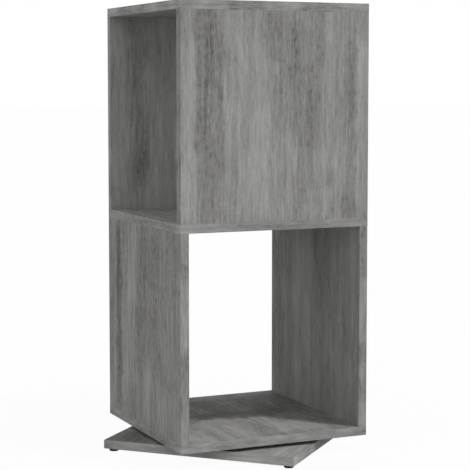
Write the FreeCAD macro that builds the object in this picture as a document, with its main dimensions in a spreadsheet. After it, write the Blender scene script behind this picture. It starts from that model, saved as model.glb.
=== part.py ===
"""A rotating display cabinet: two open cubes stacked a quarter turn apart, on a square base.

Lengths are in millimetres. The origin lies on the floor, on the axis that the cabinet turns about.
+Z is up, and the cabinet's front faces -Y. The base board rests turned under the cabinet.
"""
import FreeCAD, Part
import os

import Sketcher

SIZES = {
    # Boards: outer sizes of the finished boards, with their edging
    "cabinet_width": 345,
    "base_width": 345,
    "board_thickness": 15,
    "tier_height": 347,
    "base_turn": -45.6,
    # Edging strips on the boards' cut edges
    "edging_thickness": 0.8,
    "edging_bevel": 0.2,
    "edging_joint": 0.1,
    # Feet
    "foot_height": 5,
    "foot_top_radius": 8.5,
    "foot_bottom_radius": 7.5,
    "foot_inset": 13,
    # Glued dowels, 8 x 30 mm, two in each end of each upright panel
    "dowel_spacing": 230,
    "dowel_radius": 4,
    "dowel_length": 30,
    "dowel_depth_in_board": 10,
    # Room round and below a dowel or screw in its hole
    "hole_room": 0.1,
    "hole_end_room": 1,
    # Ball-bearing turntable: two rings, one in the other, with the balls between them
    "turntable_height": 6,
    "ring_step": 0.6,
    "ring_width": 13,
    "ring_gap": 1.6,
    "track_radius": 56,
    "ball_radius": 1.6,
    "ball_count": 6,
    "race_room": 0.05,
    "socket_room": 0.1,
    "cage_thickness": 0.8,
    "cage_height": 4.6,
    # Screws through the rings, and the hole that lets a driver reach the inner ring's ones
    "ring_screw_radius": 2,
    "ring_screw_head_radius": 4,
    "ring_screw_length": 16,
    "ring_screw_set": 0.2,
    "driver_hole_radius": 5.5,
}

doc = FreeCAD.newDocument("rotating_display_cabinet")
sheet = doc.addObject("Spreadsheet::Sheet", "Sizes")
for row, (alias, value) in enumerate(SIZES.items(), 1):
    sheet.set(f"A{row}", alias)
    sheet.set(f"B{row}", str(value))
    sheet.setAlias(f"B{row}", alias)
doc.recompute()


def worked(expression):
    """The number that an expression on the sheet's sizes gives."""
    return float(sheet.evalExpression(expression))


# Heights of the boards' faces above the floor
base_under = "Sizes.foot_height"
base_top = f"({base_under} + Sizes.board_thickness)"
cabinet_under = f"({base_top} + Sizes.turntable_height)"
lower_floor = f"({cabinet_under} + Sizes.board_thickness)"
middle_under = f"({lower_floor} + Sizes.tier_height)"
middle_top = f"({middle_under} + Sizes.board_thickness)"
top_under = f"({middle_top} + Sizes.tier_height)"
top_face = f"({top_under} + Sizes.board_thickness)"

# Boards without their edging, and the line along the middle of the panels' thickness
cabinet_core = "(Sizes.cabinet_width - 2 * Sizes.edging_thickness)"
base_core = "(Sizes.base_width - 2 * Sizes.edging_thickness)"
half_tier = "(Sizes.tier_height / 2)"
panel_line = "(Sizes.cabinet_width / 2 - Sizes.board_thickness / 2)"

# Places of the fasteners, from the middle of a board
dowel_place = "(Sizes.dowel_spacing / 2)"
foot_place = "(Sizes.base_width / 2 - Sizes.foot_inset)"

# The turntable: the height that the balls' middles share, its rings' height and their screws
ball_height = f"({base_top} + Sizes.turntable_height / 2)"
ring_height = "(Sizes.turntable_height - Sizes.ring_step)"
ring_middle = "(Sizes.ring_gap / 2 + Sizes.ring_width / 2)"
outer_ring_screws = f"(Sizes.track_radius + {ring_middle})"
inner_ring_screws = f"(Sizes.track_radius - {ring_middle})"
ring_screw_depth = f"(Sizes.ring_screw_length + Sizes.ring_screw_set - {ring_height} + Sizes.hole_end_room)"

SUB_PARTS = []


def origin_plane(body, role):
    return next(item for item in body.Origin.OriginFeatures if item.Role == role)


def new_body(label, height="0", turn=None, side=("0", "0")):
    """A sub-part whose Placement lifts it, turns it about +Z and moves it aside by the sizes."""
    body = doc.addObject("PartDesign::Body", label)
    body.Label = label
    body.AllowCompound = True
    body.Placement = FreeCAD.Placement(FreeCAD.Vector(), FreeCAD.Rotation(FreeCAD.Vector(0, 0, 1), 1))
    body.setExpression("Placement.Base.x", side[0])
    body.setExpression("Placement.Base.y", side[1])
    body.setExpression("Placement.Base.z", height)
    body.setExpression("Placement.Rotation.Angle", f"{turn or '0'} * 1 deg")
    SUB_PARTS.append(body)
    return body


def new_sketch(body, name, role, offset="0"):
    """An empty sketch on one of the body's origin planes, moved along that plane's normal."""
    sketch = body.newObject("Sketcher::SketchObject", name)
    sketch.AttachmentSupport = (origin_plane(body, role), [""])
    sketch.MapMode = "FlatFace"
    sketch.setExpression("AttachmentOffset.Base.z", offset)
    return sketch


def bind_point(sketch, geometry, point, across, up):
    """Tie a point of the sketch to two expressions, measured from the sketch's origin."""
    for kind, expression, axis in (("DistanceX", across, -2), ("DistanceY", up, -1)):
        value = worked(expression)
        if expression == "0":
            sketch.addConstraint(Sketcher.Constraint("PointOnObject", geometry, point, axis))
        else:
            index = sketch.addConstraint(Sketcher.Constraint(kind, -1, 1, geometry, point, value))
            sketch.setExpression(f"Constraints[{index}]", expression)


def bind_radius(sketch, geometry, radius):
    index = sketch.addConstraint(Sketcher.Constraint("Radius", geometry, worked(radius)))
    sketch.setExpression(f"Constraints[{index}]", radius)


def outline(body, name, role, corners, offset="0"):
    """A closed outline of straight lines through corners of (across, up)."""
    sketch = new_sketch(body, name, role, offset)
    places = [FreeCAD.Vector(worked(across), worked(up), 0) for across, up in corners]
    count = len(corners)
    for index, place in enumerate(places):
        sketch.addGeometry(Part.LineSegment(places[index - 1], place), False)
    for index in range(count):
        following = (index + 1) % count
        sketch.addConstraint(Sketcher.Constraint("Coincident", index, 2, following, 1))
    for index, (across, up) in enumerate(corners):
        bind_point(sketch, index, 2, across, up)
    return sketch


def rectangle(body, name, role, width, depth, middle=("0", "0"), offset="0"):
    """A rectangle outline of that width and depth about its middle."""
    left, right = f"({middle[0]}) - {width} / 2", f"({middle[0]}) + {width} / 2"
    low, high = f"({middle[1]}) - {depth} / 2", f"({middle[1]}) + {depth} / 2"
    corners = [(left, low), (right, low), (right, high), (left, high)]
    return outline(body, name, role, corners, offset)


def circles(body, name, radius, centres, offset="0"):
    """Equal circles on the body's XY plane, lifted by the offset."""
    sketch = new_sketch(body, name, "XY_Plane", offset)
    for index, (across, up) in enumerate(centres):
        centre = FreeCAD.Vector(worked(across), worked(up), 0)
        sketch.addGeometry(Part.Circle(centre, FreeCAD.Vector(0, 0, 1), worked(radius)), False)
        bind_point(sketch, index, 3, across, up)
        bind_radius(sketch, index, radius)
    return sketch


def four_places(across, up):
    """The four places at plus and minus across and plus and minus up."""
    return [(across, up), (f"-{across}", up), (f"-{across}", f"-{up}"), (across, f"-{up}")]


def dowel_places(along_x):
    """Two places over each of the two panels that meet a board."""
    across, up = (dowel_place, panel_line) if along_x else (panel_line, dowel_place)
    return four_places(across, up)


def four_round(radius):
    """Four places a quarter turn apart at that distance from the axis."""
    return four_places(f"{radius} / sqrt(2)", f"{radius} / sqrt(2)")


def pad(body, name, sketch, length, symmetric=False):
    feature = body.newObject("PartDesign::Pad", name)
    feature.Profile = sketch
    feature.setExpression("Length", length)
    feature.Midplane = symmetric
    return feature


def pocket(body, name, sketch, depth, reverse=False):
    feature = body.newObject("PartDesign::Pocket", name)
    feature.Profile = sketch
    feature.setExpression("Length", depth)
    feature.Reversed = reverse
    return feature


def revolve(body, name, sketch):
    """A full turn of the sketch about its own upright axis."""
    feature = body.newObject("PartDesign::Revolution", name)
    feature.Profile = sketch
    feature.ReferenceAxis = (sketch, ["V_Axis"])
    feature.Angle = 360
    return feature


def upright_profile(body, name, corners, across="0", back="0"):
    """A section in an upright plane, whose own axis stands at (across, back)."""
    sketch = outline(body, name, "XZ_Plane", corners, f"-1 * {back}")
    sketch.setExpression("AttachmentOffset.Base.x", across)
    return sketch


def mirror(body, name, features, role):
    feature = body.newObject("PartDesign::Mirrored", name)
    feature.Originals = features
    feature.MirrorPlane = (origin_plane(body, role), [""])
    body.Tip = feature
    return feature


def mirror_to_four(body, features):
    """Repeat features in the other three quarters of the board."""
    feature = body.newObject("PartDesign::MultiTransform", "four_quarters")
    feature.Originals = features
    steps = []
    for role in ("YZ_Plane", "XZ_Plane"):
        step = body.newObject("PartDesign::Mirrored", f"across_{role[:2]}")
        step.MirrorPlane = (origin_plane(body, role), [""])
        steps.append(step)
    feature.Transformations = steps
    body.Tip = feature
    return feature


def repeat_round(body, name, features, count):
    """Repeat features evenly round the turntable's axis."""
    feature = body.newObject("PartDesign::PolarPattern", name)
    feature.Originals = features
    feature.Axis = (origin_plane(body, "Z_Axis"), [""])
    feature.Angle = 360
    feature.setExpression("Occurrences", count)
    body.Tip = feature
    return feature


def drill(body, name, sketch, radius, depth=None, upward=False, sink_radius=None):
    """Holes at a sketch's circles: through the board without a depth, countersunk with a sink."""
    doc.recompute()
    hole = body.newObject("PartDesign::Hole", name)
    hole.Profile = sketch
    hole.ThreadType = "None"
    hole.DrillPoint = "Flat"
    hole.Reversed = upward
    hole.setExpression("Diameter", f"2 * {radius}")
    if depth is None:
        hole.DepthType = "ThroughAll"
    else:
        hole.DepthType = "Dimension"
        hole.setExpression("Depth", depth)
    if sink_radius is not None:
        hole.HoleCutType = "Countersink"
        hole.HoleCutCustomValues = True
        hole.HoleCutCountersinkAngle = 90
        hole.setExpression("HoleCutDiameter", f"2 * {sink_radius}")
    doc.recompute()
    return hole


def dowel_holes(body, face, along_x, upward):
    """Blind holes in the face of a flat board for the dowels of two panels."""
    name = "dowel_holes_" + ("below" if upward else "above")
    radius = "(Sizes.dowel_radius + Sizes.hole_room)"
    depth = "Sizes.dowel_depth_in_board + Sizes.hole_room"
    sketch = circles(body, f"places_of_{name}", radius, dowel_places(along_x), face)
    drill(body, name, sketch, radius, depth, upward)


def ring_screw_holes(body, face, distance, upward):
    """Blind holes in a board for the four screws of one of the turntable's rings."""
    radius = "(Sizes.ring_screw_radius + Sizes.hole_room)"
    sketch = circles(body, "ring_screw_places", radius, four_round(distance), face)
    drill(body, "ring_screw_holes", sketch, radius, ring_screw_depth, upward)


def flat_board(label, height, core, turn=None):
    """A square board without its edging, its underside at that height."""
    body = new_body(label, height, turn)
    sketch = rectangle(body, "board_outline", "XY_Plane", core, core)
    pad(body, "board", sketch, "Sizes.board_thickness")
    doc.recompute()
    return body


def make_top_panel():
    body = flat_board("top_panel", top_under, cabinet_core)
    dowel_holes(body, "0", True, True)


def make_middle_panel():
    """The middle board carries the upper panels and lies on the lower ones, a quarter turn away."""
    body = flat_board("middle_panel", middle_under, cabinet_core)
    dowel_holes(body, "0", False, True)
    dowel_holes(body, "Sizes.board_thickness", True, False)


def make_bottom_panel():
    body = flat_board("bottom_panel", cabinet_under, cabinet_core)
    dowel_holes(body, "Sizes.board_thickness", False, False)
    ring_screw_holes(body, "0", inner_ring_screws, True)


def make_base_panel():
    """The base board, with a hole that brings a driver to the inner ring's screws one by one."""
    body = flat_board("base_panel", base_under, base_core, "Sizes.base_turn")
    ring_screw_holes(body, "Sizes.board_thickness", outer_ring_screws, False)
    away = [("0", f"-{inner_ring_screws}")]
    sketch = circles(body, "driver_place", "Sizes.driver_hole_radius", away, "Sizes.board_thickness")
    drill(body, "driver_hole", sketch, "Sizes.driver_hole_radius")


def make_upright_panel(label, floor, side, turn):
    """A panel between two flat boards, with dowel holes in both its ends."""
    body = new_body(label, f"{floor} + {half_tier}", turn, side)
    sketch = rectangle(body, "panel_outline", "XY_Plane", cabinet_core, "Sizes.board_thickness")
    pad(body, "panel", sketch, "Sizes.tier_height", True)
    radius = "(Sizes.dowel_radius + Sizes.hole_room)"
    places = [(dowel_place, "0"), (f"-{dowel_place}", "0")]
    sketch = circles(body, "dowel_places", radius, places, half_tier)
    depth = "Sizes.dowel_length - Sizes.dowel_depth_in_board + Sizes.hole_end_room"
    holes = drill(body, "dowel_holes", sketch, radius, depth)
    mirror(body, "lower_end_holes", [holes], "XY_Plane")


def bevel_strips(body, tip, along_z):
    """Bevel the strips' outer arrises, the ones farthest out that run along each strip."""
    doc.recompute()
    shape = tip.Shape
    box = shape.BoundBox
    names = []
    for index, edge in enumerate(shape.Edges, 1):
        middle = edge.CenterOfMass
        way = edge.tangentAt(edge.FirstParameter)
        if along_z:
            chosen = abs(way.z) > 0.5 and abs(abs(middle.x) - box.XMax) < 1e-6
        else:
            face_x = abs(abs(middle.x) - box.XMax) < 1e-6 and abs(way.y) > 0.5
            face_y = abs(abs(middle.y) - box.YMax) < 1e-6 and abs(way.x) > 0.5
            chosen = face_x or face_y
        if chosen:
            names.append(f"Edge{index}")
    bevel = body.newObject("PartDesign::Chamfer", "bevelled_arrises")
    bevel.Base = (tip, names)
    bevel.setExpression("Size", "Sizes.edging_bevel")
    body.Tip = bevel


def make_board_edging(label, height, width, turn=None):
    """Four strips round a flat board: front and back cover the ends of the two between them."""
    body = new_body(label, height, turn)
    reach = f"({width} / 2 - Sizes.edging_thickness / 2)"
    sketch = rectangle(body, "front_outline", "XY_Plane", width, "Sizes.edging_thickness",
                       ("0", f"-{reach}"))
    front = pad(body, "front_strip", sketch, "Sizes.board_thickness")
    mirror(body, "back_strip", [front], "XZ_Plane")
    length = f"({width} - 2 * Sizes.edging_thickness - 2 * Sizes.edging_joint)"
    sketch = rectangle(body, "side_outline", "XY_Plane", "Sizes.edging_thickness", length,
                       (reach, "0"))
    side = pad(body, "side_strip", sketch, "Sizes.board_thickness")
    tip = mirror(body, "other_side_strip", [side], "YZ_Plane")
    bevel_strips(body, tip, False)


def make_panel_edging(label, floor, side, turn):
    """Strips on the two upright edges of a panel, whose ends are hidden by the flat boards."""
    body = new_body(label, f"{floor} + {half_tier}", turn, side)
    reach = "(Sizes.cabinet_width / 2 - Sizes.edging_thickness / 2)"
    sketch = rectangle(body, "strip_outline", "XY_Plane", "Sizes.edging_thickness",
                       "Sizes.board_thickness", (reach, "0"))
    strip = pad(body, "strip", sketch, "Sizes.tier_height", True)
    tip = mirror(body, "other_strip", [strip], "YZ_Plane")
    bevel_strips(body, tip, True)


def make_feet():
    """Tapered glides under the corners of the base board."""
    body = new_body("feet", "0", "Sizes.base_turn")
    corners = [("0", "0"), ("Sizes.foot_bottom_radius", "0"),
               ("Sizes.foot_top_radius", "Sizes.foot_height"), ("0", "Sizes.foot_height")]
    section = upright_profile(body, "foot_section", corners, foot_place, foot_place)
    mirror_to_four(body, [revolve(body, "foot", section)])


def make_dowels(label, joint, along_x, board_above):
    """Four dowels across the joint at that height, their shorter part in the flat board."""
    panel_part = "(Sizes.dowel_length - Sizes.dowel_depth_in_board)"
    start = f"{joint} - {panel_part}" if board_above else f"{joint} - Sizes.dowel_depth_in_board"
    body = new_body(label, start)
    sketch = circles(body, "dowel_outline", "Sizes.dowel_radius", dowel_places(along_x))
    pad(body, "dowel", sketch, "Sizes.dowel_length")


def make_ring(label, turn, outer):
    """One of the turntable's rings, with a ball groove in the wall that faces the other ring.

    The outer ring lies on the base. The inner one hangs under the cabinet, a step higher.
    """
    body = new_body(label, base_top, turn)
    way = "1" if outer else "-1"
    low, high = ("0", ring_height) if outer else ("Sizes.ring_step", "Sizes.turntable_height")
    middle = "Sizes.turntable_height / 2"
    race = "(Sizes.ball_radius + Sizes.race_room)"
    mouth_half = f"({race} * sqrt(2) - Sizes.ring_gap / 2)"
    mouth = f"Sizes.track_radius + {way} * Sizes.ring_gap / 2"
    groove = f"Sizes.track_radius + {way} * {race} * sqrt(2)"
    far = f"{mouth} + {way} * Sizes.ring_width"
    corners = [
        (mouth, low), (far, low), (far, high), (mouth, high),
        (mouth, f"{middle} + {mouth_half}"), (groove, middle),
        (mouth, f"{middle} - {mouth_half}"),
    ]
    revolve(body, "ring", upright_profile(body, "ring_section", corners))
    face = high if outer else low
    radius = "(Sizes.ring_screw_radius + Sizes.hole_room)"
    sink_radius = "(Sizes.ring_screw_head_radius + Sizes.ring_screw_set + Sizes.hole_room)"
    places = four_round(outer_ring_screws if outer else inner_ring_screws)
    sketch = circles(body, "screw_places", radius, places, face)
    drill(body, "screw_holes", sketch, radius, None, not outer, sink_radius)


def make_ring_screws(label, face, turn, distance, upward):
    """Four countersunk screws, driven in from a ring's face at that height, heads set below it."""
    body = new_body(label, face, turn)
    way = "1" if upward else "-1"
    head = "Sizes.ring_screw_head_radius"
    shank = "Sizes.ring_screw_radius"
    depths = [("0", "0"), (head, "0"), (shank, f"{head} - {shank}"),
              (shank, "Sizes.ring_screw_length"), ("0", "Sizes.ring_screw_length")]
    corners = [(across, f"{way} * (Sizes.ring_screw_set + {depth})") for across, depth in depths]
    section = upright_profile(body, "screw_section", corners, *four_round(distance)[0])
    mirror_to_four(body, [revolve(body, "screw", section)])


def make_ball_cage():
    """A thin band between the rings, with a round hole for each ball."""
    body = new_body("ball_cage", ball_height)
    sketch = rectangle(body, "band_section", "XZ_Plane", "Sizes.cage_thickness",
                       "Sizes.cage_height", ("Sizes.track_radius", "0"))
    revolve(body, "band", sketch)
    sketch = new_sketch(body, "ball_place", "YZ_Plane", "Sizes.track_radius + Sizes.cage_thickness")
    radius = "(Sizes.ball_radius + Sizes.socket_room)"
    sketch.addGeometry(Part.Circle(FreeCAD.Vector(), FreeCAD.Vector(0, 0, 1), worked(radius)), False)
    bind_point(sketch, 0, 3, "0", "0")
    bind_radius(sketch, 0, radius)
    hole = pocket(body, "ball_hole", sketch, "2 * Sizes.cage_thickness")
    repeat_round(body, "ball_holes", [hole], "Sizes.ball_count")


def make_balls():
    body = new_body("turntable_balls", ball_height)
    ball = body.newObject("PartDesign::AdditiveSphere", "ball")
    ball.setExpression("Radius", "Sizes.ball_radius")
    ball.setExpression("Placement.Base.x", "Sizes.track_radius")
    repeat_round(body, "ball_ring", [ball], "Sizes.ball_count")


make_base_panel()
make_board_edging("base_edging", base_under, "Sizes.base_width", "Sizes.base_turn")
make_feet()
make_ring("turntable_outer_ring", "Sizes.base_turn", True)
make_ring_screws("outer_ring_screws", f"{base_top} + {ring_height}", "Sizes.base_turn",
                 outer_ring_screws, False)
make_ball_cage()
make_balls()
make_ring("turntable_inner_ring", None, False)
make_ring_screws("inner_ring_screws", f"{base_top} + Sizes.ring_step", None, inner_ring_screws, True)

make_bottom_panel()
make_middle_panel()
make_top_panel()
for label, height in {"bottom": cabinet_under, "middle": middle_under, "top": top_under}.items():
    make_board_edging(f"{label}_edging", height, "Sizes.cabinet_width")

for label, way in {"left": "-1", "right": "1"}.items():
    side = (f"{way} * {panel_line}", "0")
    make_upright_panel(f"lower_{label}_panel", lower_floor, side, "90")
    make_panel_edging(f"lower_{label}_edging", lower_floor, side, "90")
for label, way in {"front": "-1", "back": "1"}.items():
    side = ("0", f"{way} * {panel_line}")
    make_upright_panel(f"upper_{label}_panel", middle_top, side, "0")
    make_panel_edging(f"upper_{label}_edging", middle_top, side, "0")

make_dowels("bottom_dowels", lower_floor, False, False)
make_dowels("middle_down_dowels", middle_under, False, True)
make_dowels("middle_up_dowels", middle_top, True, False)
make_dowels("top_dowels", top_under, True, True)

doc.recompute()
for item in doc.Objects:
    if "Invalid" in item.State or "Error" in item.State:
        raise RuntimeError(f"{item.Name} is {item.State}")
for body in SUB_PARTS:
    if body.Shape.isNull() or not body.Shape.isValid():
        raise RuntimeError(f"{body.Label} has no valid shape")

os.makedirs("parts", exist_ok=True)
for body in SUB_PARTS:
    body.Shape.exportStep(f"parts/{body.Label}.step")
    print(body.Label, len(body.Shape.Solids), round(body.Shape.Volume, 1))
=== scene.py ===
# %% [markdown]
# # A rotating display cabinet
# The real object is flat-pack furniture: two open cubes of grey laminated board, one on the other
# and turned a quarter turn apart, on a square base board. A ball bearing hides in the dark gap
# between the cabinet and the base. The CAD model already has every board in its place, so this
# lesson is about finishes: a printed wood-grain decor, the strips on the boards' cut edges, the
# small hardware, and the light that makes a flat grey board look real.

# %% Load the frame
import math

import bpy
from mathutils import Euler, Matrix, Vector


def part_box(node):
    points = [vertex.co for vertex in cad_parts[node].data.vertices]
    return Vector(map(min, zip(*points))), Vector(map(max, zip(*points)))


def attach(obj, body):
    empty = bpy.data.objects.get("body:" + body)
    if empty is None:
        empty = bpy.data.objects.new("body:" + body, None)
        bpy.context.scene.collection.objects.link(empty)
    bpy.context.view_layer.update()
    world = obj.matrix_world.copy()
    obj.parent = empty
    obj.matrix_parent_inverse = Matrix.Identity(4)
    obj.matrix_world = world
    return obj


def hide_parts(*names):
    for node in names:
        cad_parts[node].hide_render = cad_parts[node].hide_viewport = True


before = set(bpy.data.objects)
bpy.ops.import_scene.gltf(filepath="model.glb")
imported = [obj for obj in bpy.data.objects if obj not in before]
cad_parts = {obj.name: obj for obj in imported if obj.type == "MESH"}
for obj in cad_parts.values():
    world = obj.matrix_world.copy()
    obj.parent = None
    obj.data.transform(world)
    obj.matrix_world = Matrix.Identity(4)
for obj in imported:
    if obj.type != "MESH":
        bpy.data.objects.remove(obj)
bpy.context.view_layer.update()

# %% [markdown]
# ## A small tool kit
# Shader trees and geometry trees are both lists of nodes joined by links. One helper adds a node,
# sets its options, and either types a value into a socket or links another node's output to it.
# The others wrap the nodes that come up again and again, so that a formula reads as a formula.

# %% Node helpers
def add_node(tree, kind, inputs=None, **settings):
    node = tree.nodes.new(kind)
    for name, value in settings.items():
        setattr(node, name, value)
    for key, value in (inputs or {}).items():
        if isinstance(value, bpy.types.NodeSocket):
            tree.links.new(value, node.inputs[key])
        else:
            node.inputs[key].default_value = value
    return node


def calculate(tree, operation, *values):
    kind = "ShaderNodeMath"
    return add_node(tree, kind, dict(enumerate(values)), operation=operation).outputs[0]


def combine(tree, operation, *vectors):
    kind = "ShaderNodeVectorMath"
    return add_node(tree, kind, dict(enumerate(vectors)), operation=operation).outputs[0]


def vector_of(tree, x=0.0, y=0.0, z=0.0):
    return add_node(tree, "ShaderNodeCombineXYZ", {"X": x, "Y": y, "Z": z}).outputs[0]


def parts_of(tree, vector):
    return add_node(tree, "ShaderNodeSeparateXYZ", {0: vector}).outputs


def length_of(tree, vector):
    return add_node(tree, "ShaderNodeVectorMath", {0: vector}, operation="LENGTH").outputs["Value"]


def remap(tree, value, low, high, to_low=0.0, to_high=1.0):
    """Carry a value smoothly from one range into another, and stop it at the ends."""
    sockets = {"Value": value, "From Min": low, "From Max": high,
               "To Min": to_low, "To Max": to_high}
    node = add_node(tree, "ShaderNodeMapRange", sockets, interpolation_type="SMOOTHSTEP")
    return node.outputs["Result"]


def noise(tree, vector, scale, detail=2.0, roughness=0.5):
    """Noise stretched by a scale for each axis: a low scale along the grain makes long streaks."""
    stretched = combine(tree, "MULTIPLY", vector, scale)
    sockets = {"Vector": stretched, "Scale": 1.0, "Detail": detail, "Roughness": roughness}
    return add_node(tree, "ShaderNodeTexNoise", sockets).outputs[0]


def centred_noise(tree, vector, scale, detail=2.0, roughness=0.5):
    return calculate(tree, "SUBTRACT", noise(tree, vector, scale, detail, roughness), 0.5)


def group_with(name, kind, inputs, outputs):
    """An empty node group with named sockets, and its input and output nodes."""
    tree = bpy.data.node_groups.new(name, kind)
    for label, socket_type, default in inputs:
        socket = tree.interface.new_socket(label, in_out="INPUT", socket_type=socket_type)
        if default is not None:
            socket.default_value = default
    for label, socket_type in outputs:
        tree.interface.new_socket(label, in_out="OUTPUT", socket_type=socket_type)
    return tree, tree.nodes.new("NodeGroupInput").outputs, tree.nodes.new("NodeGroupOutput").inputs


# %% [markdown]
# ## The printed decor
# Melamine board carries a printed paper under clear resin. This print imitates weathered grey oak:
# broad pale and dark bands a few centimetres wide, cloudy blotches and streaks a few millimetres
# wide. Soft mottling and short dark dashes gather in the dark bands. Each layer is the same noise
# texture at another stretch. Before that, all layers lean on slow, middling and fine noise, so
# that the grain wanders sideways as one and its lines are never ruler-straight. A photograph of
# wood would also do, but it repeats on every board. The group works in board coordinates: X across
# the grain, Y along it and Z through the board.

# %% The grain group
# How far one seed's print lies from the next one's, on each axis
SEED_STEPS = (1.731, 2.913, 0.617)
# The sideways lean: noise scale on the board's axes, and its reach in metres
WANDER = ((9.0, 5.0, 9.0), 0.022)
RIPPLE = ((70.0, 22.0, 70.0), 0.0026)
JITTER = ((330.0, 80.0, 330.0), 0.0006)
# The tone: noise scale, detail, roughness and share
LAYERS = (
    ((24.0, 1.9, 24.0), 3.0, 0.55, 0.50),
    ((44.0, 14.0, 44.0), 4.0, 0.62, 0.34),
    ((150.0, 6.5, 150.0), 2.0, 0.55, 0.33),
    ((330.0, 34.0, 330.0), 3.0, 0.62, 0.39),
    ((900.0, 150.0, 900.0), 2.0, 0.55, 0.28),
)
# Mottling and dashes fade out between these two tones, down to a rest on pale board
DARK_TONE, PALE_TONE, REST_ON_PALE = 0.38, 0.58, 0.12
MOTTLE, MOTTLE_SHARE = ((210.0, 78.0, 210.0), 3.0, 0.6), 0.62
DASHES, DASH_LIMITS, DASH_SHARE = ((360.0, 84.0, 360.0), 1.0), (0.54, 0.70), 0.10
GLINTS, GLINT_LIMITS, GLINT_SHARE = ((260.0, 8.0, 260.0), 2.0), (0.58, 0.70), 0.10
DASH_DEPTH = 0.7
# Where on the tone scale the darkest and the palest grey lie
DARK_STOP, PALE_STOP = 0.12, 0.88
DARK_GREY = (0.070, 0.068, 0.064, 1.0)
MIDDLE_GREY = (0.186, 0.184, 0.177, 1.0)
PALE_GREY = (0.345, 0.343, 0.334, 1.0)
ROUGH_ON_DARK, ROUGH_ON_PALE = 0.72, 0.60


def make_grain_group():
    inputs = [("Board", "NodeSocketVector", None), ("Seed", "NodeSocketFloat", 0.0),
              ("Tone", "NodeSocketFloat", 0.0)]
    outputs = [("Colour", "NodeSocketColor"), ("Roughness", "NodeSocketFloat"),
               ("Height", "NodeSocketFloat")]
    tree, given, result = group_with("weathered_grey_grain", "ShaderNodeTree", inputs, outputs)
    apart = vector_of(tree, *(calculate(tree, "MULTIPLY", given["Seed"], step)
                              for step in SEED_STEPS))
    place = combine(tree, "ADD", given["Board"], apart)
    sideways = 0.0
    for scale, reach in (WANDER, RIPPLE, JITTER):
        lean = centred_noise(tree, place, scale)
        sideways = calculate(tree, "MULTIPLY_ADD", lean, reach, sideways)
    place = combine(tree, "ADD", place, vector_of(tree, sideways))

    tone = calculate(tree, "ADD", given["Tone"], 0.5)
    for scale, detail, roughness, share in LAYERS:
        layer = centred_noise(tree, place, scale, detail, roughness)
        tone = calculate(tree, "MULTIPLY_ADD", layer, share, tone)
    where_dark = remap(tree, tone, DARK_TONE, PALE_TONE, 1.0, REST_ON_PALE)
    mottle = calculate(tree, "MULTIPLY", centred_noise(tree, place, *MOTTLE), where_dark)
    dashes = remap(tree, noise(tree, place, *DASHES), *DASH_LIMITS)
    dashes = calculate(tree, "MULTIPLY", dashes, where_dark)
    glints = remap(tree, noise(tree, place, *GLINTS), *GLINT_LIMITS)
    tone = calculate(tree, "MULTIPLY_ADD", mottle, MOTTLE_SHARE, tone)
    tone = calculate(tree, "MULTIPLY_ADD", dashes, -DASH_SHARE, tone)
    tone = calculate(tree, "MULTIPLY_ADD", glints, GLINT_SHARE, tone)

    ramp = add_node(tree, "ShaderNodeValToRGB", {"Fac": tone})
    stops = ramp.color_ramp.elements
    stops[0].position, stops[0].color = DARK_STOP, DARK_GREY
    stops[1].position, stops[1].color = PALE_STOP, PALE_GREY
    stops.new(0.5).color = MIDDLE_GREY
    rough = remap(tree, tone, 0.2, 0.8, ROUGH_ON_DARK, ROUGH_ON_PALE)
    tree.links.new(ramp.outputs["Color"], result["Colour"])
    tree.links.new(rough, result["Roughness"])
    tree.links.new(calculate(tree, "MULTIPLY_ADD", dashes, -DASH_DEPTH, tone), result["Height"])
    return tree


grain_group = make_grain_group()
print("grain nodes", len(grain_group.nodes))

# %% [markdown]
# ## Bands that this cabinet shows, and painted shadow and light
# Noise alone gives a believable board, but not this one: the photograph shows a patchy dark column
# near the left of the front panel, a pale one beside it, and so on. A soft patch is one broad tone
# at a chosen place. Its edges sway and fray by noise and fade out, and the grain's own noise runs
# over it, so it never looks like a stamp. A painted texture could do the same, but a patch is moved
# by changing one number, and the grain over it stays sharp however close the camera comes. Some
# patches are painted shadow and painted light instead: on the bottom board, the base and its
# strips.

# %% Soft patches
# Noise scale, detail and roughness, and the reach in metres
SWAY, SWAY_ACROSS, SWAY_ALONG = ((22.0, 26.0, 22.0), 3.0, 0.6), 0.030, 0.080
FRAY, FRAY_ACROSS = ((190.0, 60.0, 190.0), 2.0, 0.6), 0.012
# Where the fading starts and ends, as shares of the half size
FADE_ACROSS, FADE_ALONG = (0.55, 1.20), (0.60, 1.20)


def make_patch_group():
    inputs = [("Board", "NodeSocketVector", None), ("Middle", "NodeSocketVector", None),
              ("Half size", "NodeSocketVector", None), ("Strength", "NodeSocketFloat", 0.0)]
    outputs = [("Tone", "NodeSocketFloat")]
    tree, given, result = group_with("soft_patch", "ShaderNodeTree", inputs, outputs)
    sway = centred_noise(tree, given["Board"], *SWAY)
    fray = centred_noise(tree, given["Board"], *FRAY)
    aside = calculate(tree, "MULTIPLY", sway, SWAY_ACROSS)
    aside = calculate(tree, "MULTIPLY_ADD", fray, FRAY_ACROSS, aside)
    lean = vector_of(tree, aside, calculate(tree, "MULTIPLY", sway, SWAY_ALONG))
    place = combine(tree, "ADD", given["Board"], lean)
    away = combine(tree, "ABSOLUTE", combine(tree, "SUBTRACT", place, given["Middle"]))
    share = parts_of(tree, combine(tree, "DIVIDE", away, given["Half size"]))
    across = remap(tree, share["X"], *FADE_ACROSS, 1.0, 0.0)
    along = remap(tree, share["Y"], *FADE_ALONG, 1.0, 0.0)
    inside = calculate(tree, "MULTIPLY", across, along)
    tree.links.new(calculate(tree, "MULTIPLY", inside, given["Strength"]), result["Tone"])
    return tree


patch_group = make_patch_group()
print("patch nodes", len(patch_group.nodes))

# %% [markdown]
# ## Board coordinates
# Every board gets the same grain group with its own seed, so no two boards repeat. Object
# coordinates are the cabinet's own frame. A Mapping node turns them into board coordinates: its
# rotation has the across, along and through directions as rows. UV maps would need unwrapping on
# every board, and this needs only the board's middle and two directions.

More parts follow.
